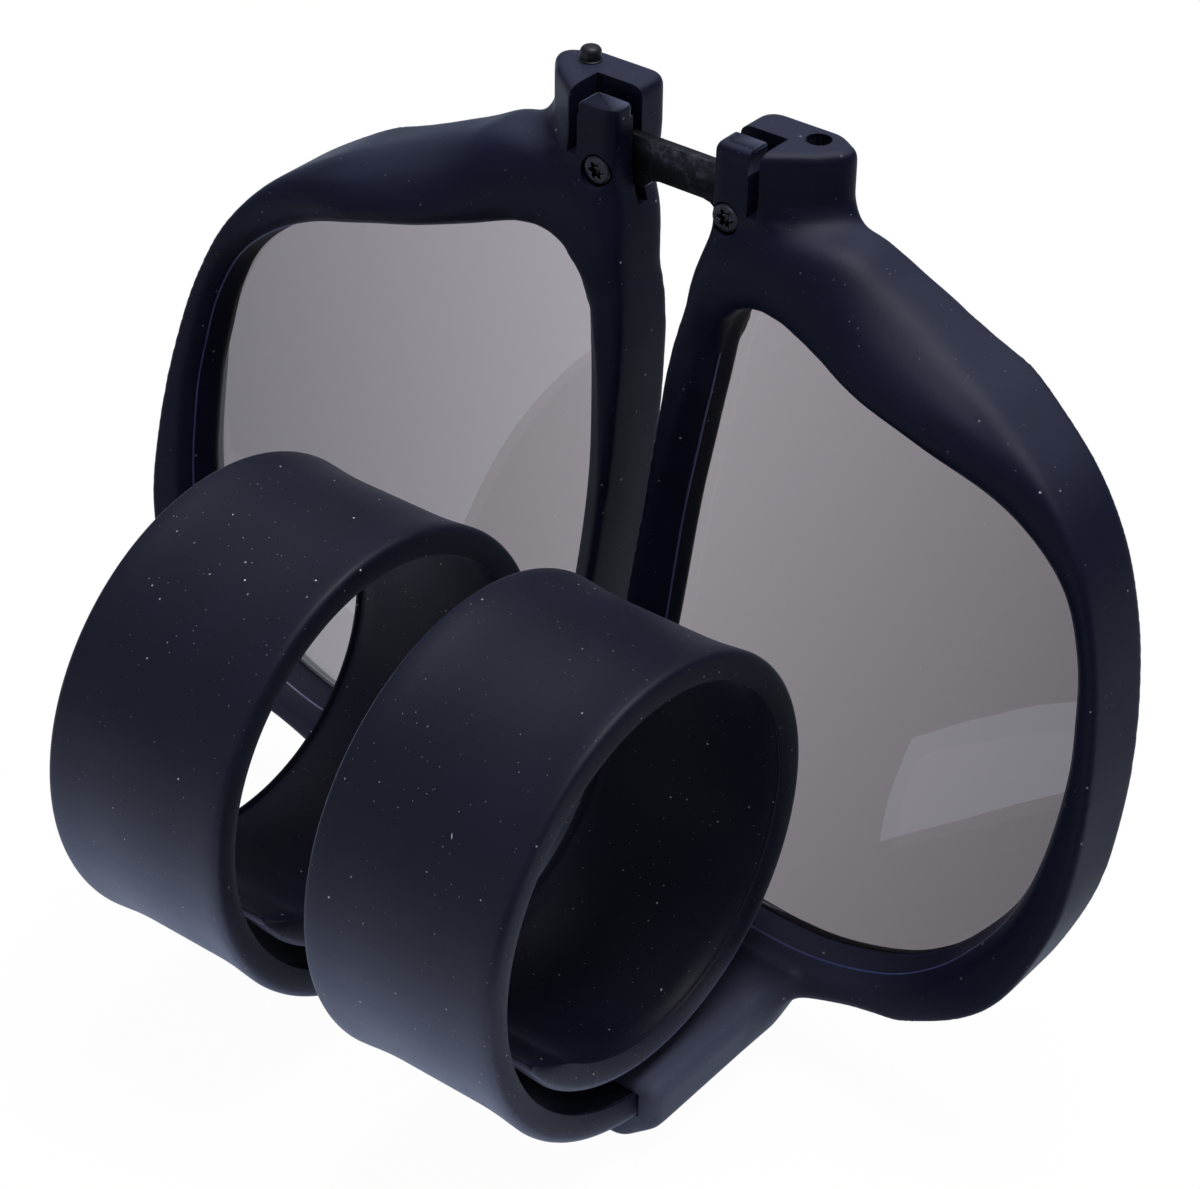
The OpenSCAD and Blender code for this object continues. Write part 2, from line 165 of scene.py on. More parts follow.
# X and Z of points along the lens opening and along the rim, and the middle of the lens
LENS_EDGE = [
    (45.8, -38.5), (45.4, -34.0), (44.6, -29.5), (42.6, -25.0), (39.2, -21.8), (34.5, -19.3),
    (28.5, -17.2), (22.5, -15.6), (17.0, -14.2), (12.8, -12.9), (9.4, -13.5), (7.4, -16.6),
    (6.5, -22.6), (5.9, -28.0), (5.4, -34.0), (5.3, -42.0), (5.5, -51.0), (7.2, -58.8),
    (12.8, -63.2), (20.0, -63.8), (27.0, -63.3), (33.6, -61.3), (38.0, -58.6), (41.2, -55.2),
    (43.8, -51.0), (45.3, -45.5)]
RIM_EDGE = [
    (48.95, -38.5), (48.05, -32.5), (46.6, -27.1), (44.1, -21.7), (40.0, -17.1), (34.1, -13.4),
    (29.3, -11.4), (24.8, -9.5), (21.2, -7.9), (19.3, -6.8), (17.2, -6.0), (12.0, -6.0),
    (6.4, -7.6), (4.0, -12.5), (2.6, -19.5), (2.15, -27.0), (1.95, -35.0), (1.9, -42.0),
    (2.0, -50.0), (2.1, -58.0), (2.15, -64.0), (2.3, -69.2), (4.6, -72.0), (14.0, -71.4),
    (20.5, -70.2), (25.5, -67.8), (31.0, -65.8), (35.3, -64.4), (38.9, -62.8), (42.6, -60.6),
    (45.3, -57.9), (47.3, -54.0), (48.8, -49.3), (49.2, -44.5)]
MIDDLE = np.array([24.0, -39.5])


def edge_at(points, angles):
    """Points where rays from the middle of the lens meet a closed line that runs anticlockwise."""
    line = knot_line(points, 14) - MIDDLE
    a = np.unwrap(np.arctan2(line[:, 1], line[:, 0]))
    r = np.hypot(line[:, 0], line[:, 1])
    a = np.concatenate([a - 2 * np.pi, a, a + 2 * np.pi])
    r = np.concatenate([r, r, r])
    got = np.interp(angles, a, r)
    return np.stack([MIDDLE[0] + got * np.cos(angles), MIDDLE[1] + got * np.sin(angles)], 1)


# The band's middle line, seen along X

# Y and Z where the band leaves the end piece; degrees that its root and each link turn
ROOT = np.array([-35.2, -69.2])
ROOT_TURN = 11.5
LINK_TURN = 20.3
TOTAL_TURN = ROOT_TURN + LINKS * LINK_TURN
# Degrees turned and the coil's radius there
COIL_TURNS = (0, 180, 330, TOTAL_TURN)
COIL_RADII = (21.9, 18.5, 16.7, 19.7)
# X of the band's inner edge, its width and the X of its middle
BAND_IN, BAND_WIDE = 4.5, 18.7
BAND_MIDDLE = BAND_IN + BAND_WIDE / 2


def turn_before(k):
    return 0.0 if k == 0 else ROOT_TURN + (k - 1) * LINK_TURN


def turn_of(k):
    return ROOT_TURN if k == 0 else LINK_TURN


def heading(a):
    """The direction a degrees round."""
    return np.array([math.cos(math.radians(a)), math.sin(math.radians(a))])


def piece_radius(k):
    return float(np.interp(turn_before(k) + turn_of(k) / 2, COIL_TURNS, COIL_RADII))


def band_joints():
    """The points where the lengths of the band's middle line meet."""
    points = [ROOT.copy()]
    for k in range(LINKS + 1):
        a, r = 270 - turn_before(k), piece_radius(k)
        points.append(points[-1] + r * (heading(a - turn_of(k)) - heading(a)))
    return points


BAND_JOINTS = band_joints()


def band_point(k, u):
    """Point on the band's middle line and its outward normal, u of the way along link k."""
    a, r = 270 - turn_before(k), piece_radius(k)
    centre = BAND_JOINTS[k] - r * heading(a)
    out = heading(a - u * turn_of(k))
    return centre + r * out, out


# Mesh helpers


def clear_selection():
    if bpy.context.object and bpy.context.object.mode != "OBJECT":
        bpy.ops.object.mode_set(mode="OBJECT")
    bpy.ops.object.select_all(action="DESELECT")


def pick(*objects):
    clear_selection()
    for o in objects:
        o.select_set(True)
    bpy.context.view_layer.objects.active = objects[0]


def mesh_object(name, verts, faces):
    mesh = bpy.data.meshes.new(name)
    mesh.from_pydata([tuple(map(float, v)) for v in verts], [], faces)
    mesh.update()
    o = bpy.data.objects.new(name, mesh)
    bpy.context.scene.collection.objects.link(o)
    return o


def face_out(o):
    """Merges doubles and turns all faces of a closed shape outwards."""
    pick(o)
    bpy.ops.object.mode_set(mode="EDIT")
    bpy.ops.mesh.select_all(action="SELECT")
    bpy.ops.mesh.remove_doubles(threshold=1e-5)
    bpy.ops.mesh.normals_make_consistent(inside=False)
    bpy.ops.object.mode_set(mode="OBJECT")
    return o


def loft(name, loops, closed=False):
    """A closed shape through loops of equal length; closed joins the last loop to the first."""
    n = len(loops[0])
    verts = [v for loop in loops for v in loop]
    rows = len(loops)
    faces = []
    for i in range(rows if closed else rows - 1):
        a, b = i * n, ((i + 1) % rows) * n
        for j in range(n):
            faces.append((a + j, a + (j + 1) % n, b + (j + 1) % n, b + j))
    if not closed:
        faces.append(tuple(range(n - 1, -1, -1)))
        faces.append(tuple(range((rows - 1) * n, rows * n)))
    return face_out(mesh_object(name, verts, faces))


def apply_modifier(o, kind, **values):
    pick(o)
    m = o.modifiers.new(kind.lower(), kind)
    for key, value in values.items():
        setattr(m, key, value)
    bpy.ops.object.modifier_apply(modifier=m.name)


def cut(o, cutter):
    """Takes the cutter's shape off the object and removes the cutter."""
    apply_modifier(o, "BOOLEAN", operation="DIFFERENCE", object=cutter, solver="EXACT")
    bpy.data.objects.remove(cutter)
    return o


def box_of(name, low, high):
    """A box between two of its corners."""
    clear_selection()
    centre = [(a + b) / 2 for a, b in zip(low, high)]
    bpy.ops.mesh.primitive_cube_add(size=1, location=centre)
    o = bpy.context.object
    o.name = name
    o.scale = [b - a for a, b in zip(low, high)]
    bpy.ops.object.transform_apply(location=True, rotation=True, scale=True)
    return o


def rod_of(name, radius, start, end):
    """A round rod from one point to another."""
    clear_selection()
    a, b = Vector(start), Vector(end)
    bpy.ops.mesh.primitive_cylinder_add(vertices=48, radius=radius, depth=(b - a).length,
                                        location=(a + b) / 2,
                                        rotation=(b - a).to_track_quat("Z", "Y").to_euler())
    o = bpy.context.object
    o.name = name
    bpy.ops.object.transform_apply(location=True, rotation=True, scale=True)
    return o


CORNER_STEPS = 5


def rounded(corners):
    """A polygon with rounded corners; each corner is x, y, radius."""
    out = []
    count = len(corners)
    for i in range(count):
        c = np.array(corners[i][:2], float)
        a = np.array(corners[i - 1][:2], float) - c
        b = np.array(corners[(i + 1) % count][:2], float) - c
        a, b = a / np.linalg.norm(a), b / np.linalg.norm(b)
        r = corners[i][2]
        half = math.acos(np.clip(a @ b, -1, 1)) / 2
        mid = (a + b) / np.linalg.norm(a + b)
        o = c + mid * r / math.sin(half)
        p, q = c + a * r / math.tan(half) - o, c + b * r / math.tan(half) - o
        start = math.atan2(p[1], p[0])
        sweep = (math.atan2(q[1], q[0]) - start + 3 * math.pi) % (2 * math.pi) - math.pi
        for j in range(CORNER_STEPS + 1):
            t = start + sweep * j / CORNER_STEPS
            out.append(o + r * np.array([math.cos(t), math.sin(t)]))
    return np.array(out)


def inset(loop, d):
    """Moves a closed plane loop inwards by d."""
    step = np.roll(loop, -1, 0) - np.roll(loop, 1, 0)
    normal = np.stack([step[:, 1], -step[:, 0]], 1)
    normal /= np.linalg.norm(normal, axis=1)[:, None]
    area = 0.5 * np.sum(loop[:, 0] * np.roll(loop[:, 1], -1) - np.roll(loop[:, 0], -1) * loop[:, 1])
    return loop - normal * d * (1 if area > 0 else -1)


def settle(o, side=1):
    """Moves a piece from the modelling space to its place in the frame, in metres."""
    o.data.transform(Matrix.Diagonal((MM * side, MM, MM, 1)))
    if side < 0:
        o.data.flip_normals()
    o.data.transform(Matrix.Translation(placed(0, 0, 0)))
    o.data.update()
    return o


def set_painted_light(o, values):
    """Stores how much painted light each vertex gets: a lighter, bluer tone for faces that the top light
    or the floor's bounce would brighten.
    """
    layer = o.data.attributes.new("painted_light", "FLOAT", "POINT")
    layer.data.foreach_set("value", np.clip(values, 0, 1).astype(np.float32))


def vertex_table(o):
    """Places and normals of all vertices, as arrays."""
    count = len(o.data.vertices)
    co, normal = np.empty(count * 3), np.empty(count * 3)
    o.data.vertices.foreach_get("co", co)
    o.data.vertices.foreach_get("normal", normal)
    return co.reshape(-1, 3), normal.reshape(-1, 3)


def finish_piece(o, material, body, nodes=(), angle=40):
    """Gives a piece its material and smoothing, hides the nodes that it stands for and attaches it to
    its body.
    """
    o.data.materials.clear()
    o.data.materials.append(material)
    pick(o)
    bpy.ops.object.shade_smooth_by_angle(angle=math.radians(angle))
    if nodes:
        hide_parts(*nodes)
    if body:
        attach(o, body)


# Materials

# Painted light: a lighter, bluer tone for faces that the top light or the floor's bounce would brighten
PAINTED_LIGHT_TONE = (0.085, 0.095, 0.150, 1)
SPECK = (0.42, 0.42, 0.44, 1)
SHEEN = (0.66, 0.76, 1.0, 1)
STEEL = (0.45, 0.45, 0.46)
BUMP_HEIGHT = 0.00003


def shade(colour, factor=1.0):
    """The colour made lighter or darker, with its alpha."""
    return tuple(min(1, c * factor) for c in colour) + (1,)


def wire(tree, node, inputs):
    """Sets a node's inputs, each to a value or to another node's socket."""
    for key, value in inputs.items():
        if isinstance(value, bpy.types.NodeSocket):
            tree.links.new(value, node.inputs[key])
        else:
            node.inputs[key].default_value = value


def add_node(tree, kind, inputs=None, **settings):
    """Adds a shader node with its settings and its inputs."""
    node = tree.nodes.new("ShaderNode" + kind)
    for key, value in settings.items():
        setattr(node, key, value)
    wire(tree, node, inputs or {})
    return node


def math_node(tree, kind, a, b, clamp=False):
    return add_node(tree, "Math", {0: a, 1: b}, operation=kind, use_clamp=clamp).outputs[0]


def product(tree, first, *others):
    for value in others:
        first = math_node(tree, "MULTIPLY", first, value)
    return first


def mix_colour(tree, factor, a, b):
    return add_node(tree, "Mix", {0: factor, 6: a, 7: b}, data_type="RGBA").outputs[2]


def ramp(tree, value, low, high):
    """Rises evenly from 0 at low to 1 at high."""
    node = add_node(tree, "MapRange", {"Value": value, "From Min": low, "From Max": high})
    return node.outputs["Result"]


def new_group(name, numbers, outputs):
    """A node group that takes a place and some numbers and puts out numbers."""
    group = bpy.data.node_groups.new(name, "ShaderNodeTree")
    group.interface.new_socket(name="Place", in_out="INPUT", socket_type="NodeSocketVector")
    for label, value in numbers.items():
        socket = group.interface.new_socket(name=label, in_out="INPUT", socket_type="NodeSocketFloat")
        socket.default_value = value
    for label in outputs:
        group.interface.new_socket(name=label, in_out="OUTPUT", socket_type="NodeSocketFloat")
    return group, group.nodes.new("NodeGroupInput"), group.nodes.new("NodeGroupOutput")


def cell_dots(tree, vector, scale, size, left_out):
    """Dots in the cells of a pattern, some left out, and two tones that differ from cell to cell."""
    cells = add_node(tree, "TexVoronoi", {"Vector": vector, "Scale": scale})
    red, green, blue = add_node(tree, "SeparateColor", {0: cells.outputs["Color"]}).outputs
    inside = math_node(tree, "LESS_THAN", cells.outputs["Distance"], size)
    return product(tree, inside, math_node(tree, "GREATER_THAN", red, left_out)), green, blue


def dust_group():
    """Specks, fine powder and short fibres of dust, as a mask."""
    if "Dust" in bpy.data.node_groups:
        return bpy.data.node_groups["Dust"]
    group, given, out = new_group(
        "Dust", {"Speck Scale": 800.0, "Speck Size": 0.065, "Amount": 1.0}, ["Mask"])
    place, scale = given.outputs["Place"], given.outputs["Speck Scale"]
    specks, one, two = cell_dots(group, place, scale, given.outputs["Speck Size"], 0.25)
    powder, tone, _ = cell_dots(group, place, product(group, scale, 2.3), 0.085, 0.45)
    turn = add_node(group, "VectorRotate", {"Vector": place, "Rotation": (0.7, 0.4, 0.9)},
                    rotation_type="EULER_XYZ")
    stretch = add_node(group, "VectorMath", {0: turn.outputs[0], 1: (1.0, 1.0, 0.22)},
                       operation="MULTIPLY")
    fibres, _, _ = cell_dots(group, stretch.outputs[0], 280.0, 0.022, 0.55)
    mask = math_node(group, "MAXIMUM", product(group, specks, one, two),
                     product(group, powder, tone, 0.22))
    mask = math_node(group, "MAXIMUM", mask, product(group, fibres, 0.4))
    mask = math_node(group, "MULTIPLY", mask, given.outputs["Amount"], clamp=True)
    wire(group, out, {"Mask": mask})
    return group


def touch_group():
    """Fine moulding grain and faint handling marks: a height and a smear mask."""
    if "Moulded Surface" in bpy.data.node_groups:
        return bpy.data.node_groups["Moulded Surface"]
    group, given, out = new_group(
        "Moulded Surface", {"Grain Scale": 9000.0, "Smear Scale": 110.0}, ["Height", "Smear"])
    place = given.outputs["Place"]
    grain = add_node(group, "TexNoise", {"Vector": place, "Scale": given.outputs["Grain Scale"],
                                         "Detail": 2.0})
    smear = add_node(group, "TexNoise", {"Vector": place, "Scale": given.outputs["Smear Scale"],
                                         "Detail": 4.0, "Roughness": 0.6})
    wire(group, out, {"Height": grain.outputs["Fac"],
                      "Smear": ramp(group, smear.outputs["Fac"], 0.35, 0.7)})
    return group


def new_material(name):
    """A material, its node tree, its shader and the object's own coordinates."""
    m = bpy.data.materials.new(name)
    m.use_nodes = True
    tree = m.node_tree
    return m, tree, tree.nodes["Principled BSDF"], add_node(tree, "TexCoord").outputs["Object"]


def soft_black(name, colour, roughness, sheen, dust, speck_scale, grain_scale, bump, level=0.13):
    """Matte moulded plastic or silicone with dust specks, painted light from a stored vertex value, a
    soft sheen and faint handling marks.
    """
    if name in bpy.data.materials:
        return bpy.data.materials[name]
    m, tree, shader, place = new_material(name)
    touch = add_node(tree, "Group", {"Place": place, "Grain Scale": grain_scale},
                     node_tree=touch_group())
    specks = add_node(tree, "Group", {"Place": place, "Speck Scale": speck_scale, "Amount": dust},
                      node_tree=dust_group())
    painted_light = add_node(tree, "Attribute", attribute_name="painted_light")
    base = mix_colour(tree, touch.outputs["Smear"], shade(colour, 0.82), shade(colour, 1.22))
    # Painted light: the lighter, bluer tone is mixed in where the vertices store it
    base = mix_colour(tree, painted_light.outputs["Fac"], base, PAINTED_LIGHT_TONE)
    base = mix_colour(tree, specks.outputs["Mask"], base, SPECK)
    rough = product(tree, touch.outputs["Smear"], 0.08)
    grain = add_node(tree, "Bump", {"Strength": bump, "Distance": BUMP_HEIGHT,
                                    "Height": touch.outputs["Height"]})
    wire(tree, shader, {"Base Color": base, "Roughness": math_node(tree, "ADD", rough, roughness - 0.04),
                        "Specular IOR Level": level, "Sheen Weight": sheen, "Sheen Roughness": 0.3,
                        "Sheen Tint": SHEEN, "Normal": grain.outputs["Normal"]})
    return m


def plastic_material():
    colour = tuple(bpy.context.scene.sunglasses_colours.plastic)
    return soft_black("Soft touch plastic", colour, roughness=0.50, sheen=0.07, dust=0.8,
                      speck_scale=560.0, grain_scale=7000.0, bump=0.25, level=0.08)


# Painted highlight: eight times the plastic's colour, so that the lip round the lens opening shows as a
# light line
def painted_highlight_material():
    colour = tuple(v * 8 for v in bpy.context.scene.sunglasses_colours.plastic)
    return soft_black("Polished lip", colour, roughness=0.34, sheen=0.1, dust=0.2,
                      speck_scale=560.0, grain_scale=7000.0, bump=0.1, level=0.6)


def silicone_material():
    colour = tuple(bpy.context.scene.sunglasses_colours.silicone)
    return soft_black("Silicone sleeve", colour, roughness=0.52, sheen=0.13, dust=1.9,
                      speck_scale=760.0, grain_scale=5000.0, bump=0.3)


def peg_material():
    return soft_black("Dark peg", (0.004, 0.004, 0.006), roughness=0.42, sheen=0.05, dust=0.6,
                      speck_scale=900.0, grain_scale=7000.0, bump=0.2, level=0.2)


def metal_material(name, colour, roughness, scratch):
    """Metal with scuffs that show it brighter, by the factor scratch."""
    if name in bpy.data.materials:
        return bpy.data.materials[name]
    m, tree, shader, place = new_material(name)
    noise = add_node(tree, "TexNoise", {"Vector": place, "Scale": 900.0, "Detail": 6.0,
                                        "Roughness": 0.7})
    scuff = ramp(tree, noise.outputs["Fac"], 0.5, 0.68)
    bump = add_node(tree, "Bump", {"Strength": 0.2, "Distance": BUMP_HEIGHT,
                                   "Height": noise.outputs["Fac"]})
    wire(tree, shader, {"Base Color": mix_colour(tree, scuff, shade(colour), shade(colour, scratch)),
                        "Roughness": math_node(tree, "ADD", product(tree, scuff, -0.12), roughness),
                        "Metallic": 1.0, "Normal": bump.outputs["Normal"]})
    return m


def steel_material():
    return metal_material("Spring steel", STEEL, roughness=0.3, scratch=1.2)


def lens_material():
    """Smoked lens: its tint is lighter towards the nose and the brow as painted reflection, darker
    towards the outer side and the bottom, and its polish varies faintly.
    """
    name = "Smoked lens"
    if name in bpy.data.materials:
        return bpy.data.materials[name]
    m, tree, shader, place = new_material(name)
    tint = tuple(bpy.context.scene.sunglasses_colours.lens_tint)
    split = add_node(tree, "SeparateXYZ", {0: place})
    from_gap = add_node(tree, "Math", {0: split.outputs["X"]}, operation="ABSOLUTE").outputs[0]
    across = ramp(tree, from_gap, 0.004, 0.046)
    upward = ramp(tree, split.outputs["Z"], 0.01, 0.06)
    # Painted reflection: lighter tints towards the nose and the top, darker ones towards the outer side
    # and the bottom
    brow = mix_colour(tree, upward, shade(tint, 1.34), shade(tint, 1.78))
    cheek = mix_colour(tree, upward, shade(tint, 0.68), shade(tint, 0.94))
    noise = add_node(tree, "TexNoise", {"Vector": place, "Scale": 60.0})
    wire(tree, shader, {"Base Color": mix_colour(tree, across, brow, cheek),
                        "Roughness": product(tree, noise.outputs["Fac"], 0.008),
                        "Transmission Weight": 1.0, "IOR": 1.58})
    return m


# The frame halves

# Degrees round the lens, 0 at the cheek, 90 at the nose and 180 at the brow; how far the rim reaches
# in front of the lens's inner face; place and depth of its lip; of its ridge; depth and radius of its
# outer edge
RIM_STATIONS = [
    (0, 4.2, 0.5, 2.4, 1.2, 3.4, 3.4, 2.3), (42, 3.8, 0.4, 2.6, 1.5, 3.5, 3.3, 2.4),
    (60, 4.1, 0.4, 3.5, 1.6, 4.6, 3.0, 2.6), (75, 5.0, 0.3, 5.0, 1.5, 6.6, 2.2, 3.0),
    (93, 4.8, 0.3, 5.4, 1.3, 7.0, 0.8, 2.8), (105, 3.6, 0.3, 3.9, 1.3, 5.3, 2.0, 2.5),
    (115, 3.2, 0.4, 2.0, 1.8, 4.0, 2.8, 1.8), (130, 3.5, 0.4, 2.0, 2.2, 3.5, 3.1, 1.8),
    (142, 3.9, 0.4, 2.0, 2.4, 3.2, 3.4, 1.7), (212, 4.2, 0.4, 1.5, 2.4, 3.1, 3.8, 1.6),
    (230, 4.4, 0.5, 2.0, 2.0, 3.3, 3.7, 1.8), (242, 4.4, 0.5, 2.0, 1.8, 3.3, 3.7, 1.8),
    (263, 3.4, 0.3, 2.4, 1.3, 3.4, 3.4, 2.2), (294, 3.7, 0.5, 2.4, 1.2, 3.4, 3.4, 2.3),
    (360, 4.2, 0.5, 2.4, 1.2, 3.4, 3.4, 2.3)]
RIM_RAYS = 220


def station_values(angles):
    """The rim's measures at each angle, eased from station to station."""
    table = np.array(RIM_STATIONS)
    fine = np.arange(0, 361, 1.0)
    reach = 12
    spread = np.exp(-0.5 * (np.arange(-reach, reach + 1) / 4.0) ** 2)
    spread /= spread.sum()
    columns = []
    for i in range(1, 8):
        values = np.interp(fine[:-1], table[:, 0], table[:, i])
        around = np.concatenate([values[-reach:], values, values[:reach]])
        eased = np.convolve(around, spread, "valid")
        columns.append(np.interp(np.degrees(angles) % 360, fine, np.append(eased, eased[0])))
    return np.stack(columns, 1)


def soft_polygon(corners):
    """A rounded polygon whose radii give way where a side is short."""
    points = np.array([c[:2] for c in corners], float)
    limited = []
    for i, (x, y, r) in enumerate(corners):
        a, b = points[i - 1] - points[i], points[(i + 1) % len(corners)] - points[i]
        long_a, long_b = np.linalg.norm(a), np.linalg.norm(b)
        half = math.acos(np.clip(a @ b / long_a / long_b, -1, 1)) / 2
        limited.append((x, y, max(0.01, min(r, 0.48 * min(long_a, long_b) * math.tan(half)))))
    return rounded(limited)


def rim_rays():
    """Rays from the lens's middle: angle, where it meets the opening and the rim, the rim's measures."""
    angles = np.linspace(0, 2 * np.pi, RIM_RAYS, endpoint=False)
    return zip(angles, edge_at(LENS_EDGE, angles), edge_at(RIM_EDGE, angles), station_values(angles))


def wrapped(p, ray, section):
    """A cross-section in its place: its points lie s along the ray from p, h off the lens's face."""
    loop = []
    for s, h in section:
        x, z = p + ray * s
        loop.append((x, wrap_y(x, z) + h, z))
    return loop


def rim_loops(sizes):
    """Cross-sections of the rim, one for each ray from the middle of the lens."""
    loops = []
    for a, p, q, row in rim_rays():
        front, lip_s, lip_h, ridge_s, ridge_h, out_h, out_r = row
        lip_h, ridge_h, out_h = (v * sizes.rim_depth for v in (lip_h, ridge_h, out_h))
        wide = np.linalg.norm(q - p)
        ray = (q - p) / wide
        nose = float(smooth_step(math.cos(a - math.radians(90)), 0.72, 0.97))
        brow = float(smooth_step(-math.cos(a), 0.3, 0.8))
        bulge = 0.06 + 0.5 * nose
        ridge_s = min(ridge_s, 0.7 * wide)
        run = np.array([wide - ridge_s, ridge_h - out_h])
        run /= np.linalg.norm(run)
        middle = ((ridge_s + wide) / 2 + run[1] * bulge, -(ridge_h + out_h) / 2 - run[0] * bulge)
        groove = [(0.45, 2.0, 0.1), (0.0, 0.3, 0.1), (0.0, -0.3, 0.2)]
        back = [(lip_s, -lip_h, 0.7), (ridge_s, -ridge_h, 0.8 + 0.8 * nose), (*middle, 4.0)]
        edge = [(wide, -out_h, out_r), (wide, front, sizes.edge_round)]
        bevel = [(min(1.5 + 0.7 * brow, 0.7 * wide), front, 0.3)]
        loops.append(wrapped(p, ray, soft_polygon(groove + back + edge + bevel)))
    return loops


# Z of each level of the hinge block, and the X, Y and radius of its corners there
BLOCK_LEVELS = [
    (-4.2, [(4.9, 0.0, 1.6), (4.9, -7.8, 0.9), (9.4, -7.8, 0.6), (13.2, -4.9, 1.6), (15.5, -2.0, 1.4),
            (12.3, 0.0, 2.4)]),
    (-5.5, [(4.9, -0.1, 1.6), (4.9, -7.85, 0.9), (9.8, -7.9, 0.7), (14.0, -5.4, 1.7), (16.3, -2.3, 1.4),
            (12.9, -0.2, 2.4)]),
    (-7.0, [(4.9, -0.5, 1.6), (4.9, -8.0, 1.0), (10.6, -8.3, 1.0), (16.2, -6.7, 1.9), (18.8, -3.6, 1.4),
            (14.6, -0.8, 2.4)]),
    (-8.5, [(4.6, -0.9, 1.7), (4.6, -8.3, 1.1), (11.6, -9.0, 1.4), (18.6, -8.4, 2.0), (21.4, -5.6, 1.6),
            (17.0, -1.5, 2.4)]),
    (-10.2, [(4.0, -1.0, 1.3), (4.1, -8.7, 1.2), (12.6, -9.8, 1.6), (20.6, -10.1, 2.1),
             (24.0, -7.0, 1.8), (19.4, -2.1, 2.4)]),
    (-12.2, [(3.5, -1.6, 1.1), (3.7, -9.2, 1.2), (12.6, -10.2, 1.8), (20.6, -10.9, 2.1),
             (24.0, -8.2, 1.8), (20.0, -2.4, 2.4)]),
    (-14.4, [(3.1, -2.4, 1.0), (3.5, -9.6, 1.3), (10.6, -10.0, 1.8), (17.0, -10.6, 2.0),
             (20.0, -8.6, 1.8), (17.0, -2.6, 2.4)]),
    (-18.6, [(2.8, -3.1, 0.8), (3.5, -8.7, 0.9), (4.8, -8.7, 0.4), (5.6, -8.5, 0.4), (6.3, -7.8, 0.4),
             (6.1, -3.5, 0.9)])]


def block_loops(sizes):
    """The hinge block's outlines, from its rounded top down to where it ends in the rim."""
    e = sizes.block_round
    top = rounded(BLOCK_LEVELS[0][1])
    loops = [[(x, y, -e * (1 - math.sin(t))) for x, y in inset(top, e * (1 - math.cos(t)))]
             for t in np.linspace(math.pi / 2, 0, 5)]
    for z, corners in BLOCK_LEVELS:
        loops.append([(x, y, z) for x, y in rounded(corners)])
    return loops


def end_section(grow):
    """The end piece's outline as X and Z, grown towards the rim."""
    return rounded([(3.7 - grow * 0.3, -66.8 + grow, 1.3), (3.7 - grow * 0.2, -71.0, 2.0),
                    (7.1, -74.0, 2.8), (21.4, -74.0, 2.8), (24.7, -71.2, 1.6),
                    (25.2 + grow * 1.1, -66.7 + grow, 1.2)])


def end_loops():
    """The end piece's outlines, from its rounded end to where it flares into the rim."""
    loops = []
    rounding = ((-39.2, 1.1), (-39.1, 0.75), (-38.9, 0.45), (-38.5, 0.18), (-38.0, 0.04), (-37.3, 0))
    for y, d in rounding:
        loops.append([(x, y, z) for x, z in inset(end_section(0), d)])
    for y, grow in ((-34, 0), (-30, 0), (-26.5, 0), (-24.5, 0.4), (-23.2, 1.2), (-22.2, 2.4)):
        loops.append([(x, y, z) for x, z in end_section(grow)])
    loops.append([(x, min(wrap_y(x, z) + 2.6, -15.5), z) for x, z in inset(end_section(1.2), 0.5)])
    return loops


def painted_highlight_lip(name, sizes):
    """The fine raised edge round the lens opening, where the rim meets the groove's wall; its light
    colour is a painted highlight line.
    """
    thick = 0.17
    loops = []
    for _, p, q, row in rim_rays():
        centre = np.array([row[1] + 0.1, 0.23 - row[2] * sizes.rim_depth])
        ring = [centre + thick * heading(a) for a in range(0, 360, 45)]
        loops.append(wrapped(p, (q - p) / np.linalg.norm(q - p), ring))
    return loft(name, loops, closed=True)


def ease_joins(o):
    """Marks where the block and the end piece flow into the rim, clear of the lens's lip."""
    x, y, z = vertex_table(o)[0].T
    angle = np.arctan2(z - MIDDLE[1], x - MIDDLE[0])
    lip = np.hypot(*(edge_at(LENS_EDGE, angle) - MIDDLE).T)
    clear = smooth_step(np.hypot(x - MIDDLE[0], z - MIDDLE[1]) - lip, 0.8, 2.6)
    ahead = y - wrap_y(x, z)
    corner = smooth_step(-ahead, 2.2, 3.0) * smooth_step(-x, -21.0, -15.0)
    clear = np.maximum(clear, corner * (z > MIDDLE[1]) * 0.8)
    begin = 6.2 - 2.4 * smooth_step(x, 10.5, 12.5)
    top = smooth_step(-z - begin, 0.0, 2.6) * smooth_step(z, -21.0, -15.0) * smooth_step(x, 2.4, 5.0)
    top *= smooth_step(-x, -33.0, -26.0)
    foot = smooth_step(-z, 63.5, 65.5) * smooth_step(z, -71.5, -69.5) * smooth_step(y, -27.0, -24.0)
    weight = clear * np.maximum(top, foot * smooth_step(-ahead, -2.8, -1.8))
    group = o.vertex_groups.new(name="joins")
    for level in np.linspace(0.1, 1.0, 10):
        picked = np.nonzero(np.abs(weight - level) <= 0.05)[0]
        if len(picked):
            group.add(picked.tolist(), float(level), "REPLACE")


# Y of the slot's two walls; X of the slit's wall beside the clamping finger, and Z of the slit's foot
SLOT = (-5.1, -3.9)
SLIT_X = 8.55
SLIT_Z = -5.6


def finger_cutter(top, bevel):
    """What is taken off above the clamping finger, so that its end has rounded edges."""
    tall = box_of("above_finger", (3.5, -12, -2.0), (SLIT_X + 0.01, SLOT[0] + 0.02, 3))
    end = box_of("finger_end", (4.9, -7.95, -6.0), (SLIT_X - 0.01, SLOT[0], top))
    apply_modifier(end, "BEVEL", width=bevel, segments=4, limit_method="ANGLE")
    return cut(tall, end)


